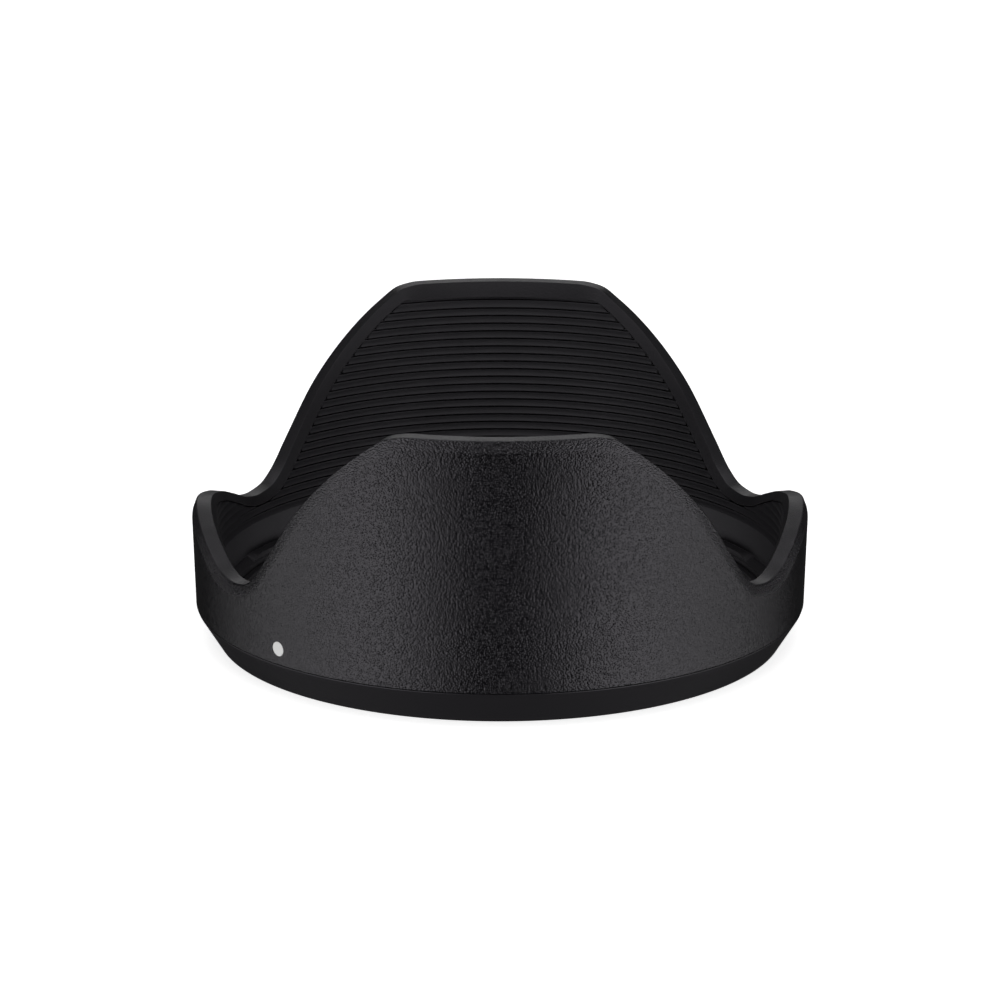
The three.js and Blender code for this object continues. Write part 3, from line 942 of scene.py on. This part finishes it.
def buildPin():
    low, high = nodeBox("stop_pin")
    middle = (low + high) / 2
    radius = (high[2] - low[2]) / 2
    form = stopPin
    profile = rounded([
        (0, 0, 0), (radius, 0, form["endRound"]), (radius, form["length"], form["rootRound"]),
        (0, form["length"], 0),
    ], 5)
    pin = makeObject("stopPin", latheMesh("stopPin", profile, 48), [springSteel])
    pin.matrix_world = aimOut(degrees(atan2(middle[0], -middle[1])), form["start"], middle[2])
    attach(pin, "hood")
    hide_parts("stop_pin")


buildPin()
print("screws and pin made")


# floor, lights and camera

studio = dict(  # sizes and distances here are in metres, angles in degrees
    floorTone=(0.90, 0.90, 0.90),
    floorGlow=0.80,
    floorSize=8.0,
    floorGap=0.00005,
    worldPower=0.02,
    panels=[  # azimuth, distance, height, width, tall, radiance
        (49, 0.85, -0.35, 0.80, 1.00, 1.84),
        (-49, 0.85, -0.35, 0.80, 1.00, 1.84),
        (96, 0.85, -0.35, 0.62, 1.00, 0.84),
        (-96, 0.85, -0.35, 0.62, 1.00, 0.84),
        (0, 0.80, 0.80, 0.60, 0.45, 1.00),
        (180, 1.10, 0.50, 0.70, 0.44, 1.05),
    ],
    tiltAbove=0.6,  # panels hung higher than this are tilted down at the hood
    topPanel=dict(height=1.0, width=1.7, size=1.1, radiance=1.2),
    lowPanel=dict(depth=0.5, size=0.7, radiance=0.085),
    target=(0.0, 0.0, 0.02104),
    distance=0.7805,
    elevation=16.708,
    lens=181.3,
)


def softBox(name, spot, aim, width, tall, radiance):
    data = bpy.data.lights.new(name, "AREA")
    data.shape = "RECTANGLE"
    data.size = width
    data.size_y = tall
    data.energy = radiance * pi * width * tall
    light = bpy.data.objects.new(name, data)
    bpy.context.scene.collection.objects.link(light)
    light.location = spot
    light.rotation_euler = (Vector(aim) - Vector(spot)).to_track_quat("-Z", "Y").to_euler()
    light.visible_camera = False
    return light


def buildStudio():
    half = studio["floorSize"] / 2
    low = -studio["floorGap"]
    mesh = bpy.data.meshes.new("floor")
    corners = [(-half, -half, low), (half, -half, low), (half, half, low), (-half, half, low)]
    mesh.from_pydata(corners, [], [(0, 1, 2, 3)])
    material, nodes, links, shader = newMaterial("paleFloor")
    shader.inputs["Base Color"].default_value = (*studio["floorTone"], 1)
    shader.inputs["Roughness"].default_value = 0.9
    shader.inputs["Specular IOR Level"].default_value = 0.1
    shader.inputs["Emission Color"].default_value = (1, 1, 1, 1)
    shader.inputs["Emission Strength"].default_value = studio["floorGlow"]
    facing = nodes.new("ShaderNodeNewGeometry")
    clear = nodes.new("ShaderNodeBsdfTransparent")
    oneSided = nodes.new("ShaderNodeMixShader")  # seen from above only, so the rear face shows from below
    links.new(facing.outputs["Backfacing"], oneSided.inputs["Fac"])
    links.new(shader.outputs["BSDF"], oneSided.inputs[1])
    links.new(clear.outputs["BSDF"], oneSided.inputs[2])
    links.new(oneSided.outputs["Shader"], nodes["Material Output"].inputs["Surface"])
    floor = makeObject("floor", mesh, [material])
    floor.visible_glossy = False
    floor.visible_diffuse = False
    floor.visible_shadow = False
    world = bpy.data.worlds.new("studioWorld")
    world.use_nodes = True
    tree = world.node_tree
    fill = tree.nodes["Background"]
    fill.inputs["Color"].default_value = (1, 1, 1, 1)
    fill.inputs["Strength"].default_value = studio["worldPower"]
    backdrop = tree.nodes.new("ShaderNodeBackground")
    backdrop.inputs["Color"].default_value = (1, 1, 1, 1)
    rays = tree.nodes.new("ShaderNodeLightPath")
    seen = tree.nodes.new("ShaderNodeMixShader")
    tree.links.new(rays.outputs["Is Camera Ray"], seen.inputs["Fac"])
    tree.links.new(fill.outputs[0], seen.inputs[1])
    tree.links.new(backdrop.outputs[0], seen.inputs[2])
    tree.links.new(seen.outputs[0], tree.nodes["World Output"].inputs["Surface"])
    bpy.context.scene.world = world
    bpy.context.scene.view_settings.view_transform = "Standard"
    for i, (azimuth, distance, height, width, tall, radiance) in enumerate(studio["panels"], 1):
        spot = polar(distance, azimuth, height)
        aim = (0, 0, height) if height < studio["tiltAbove"] else (0, 0, 0)
        softBox(f"panel{i}", spot, aim, width, tall, radiance)
    top = studio["topPanel"]
    softBox("topPanel", (0, 0.001, top["height"]), (0, 0, 0), top["width"], top["size"], top["radiance"])
    low = studio["lowPanel"]
    softBox("lowPanel", (0, 0.001, -low["depth"]), (0, 0, 0), low["size"], low["size"], low["radiance"])


def buildCamera():
    data = bpy.data.cameras.new("camera")
    data.lens = studio["lens"]
    data.sensor_width = 36
    data.clip_start, data.clip_end = 0.01, 20
    camera = bpy.data.objects.new("camera", data)
    bpy.context.scene.collection.objects.link(camera)
    tilt = radians(studio["elevation"])
    target = Vector(studio["target"])
    camera.location = target + Vector((0, -cos(tilt), sin(tilt))) * studio["distance"]
    camera.rotation_euler = (target - camera.location).to_track_quat("-Z", "Y").to_euler()
    bpy.context.scene.camera = camera


buildStudio()
buildCamera()
print("studio made")
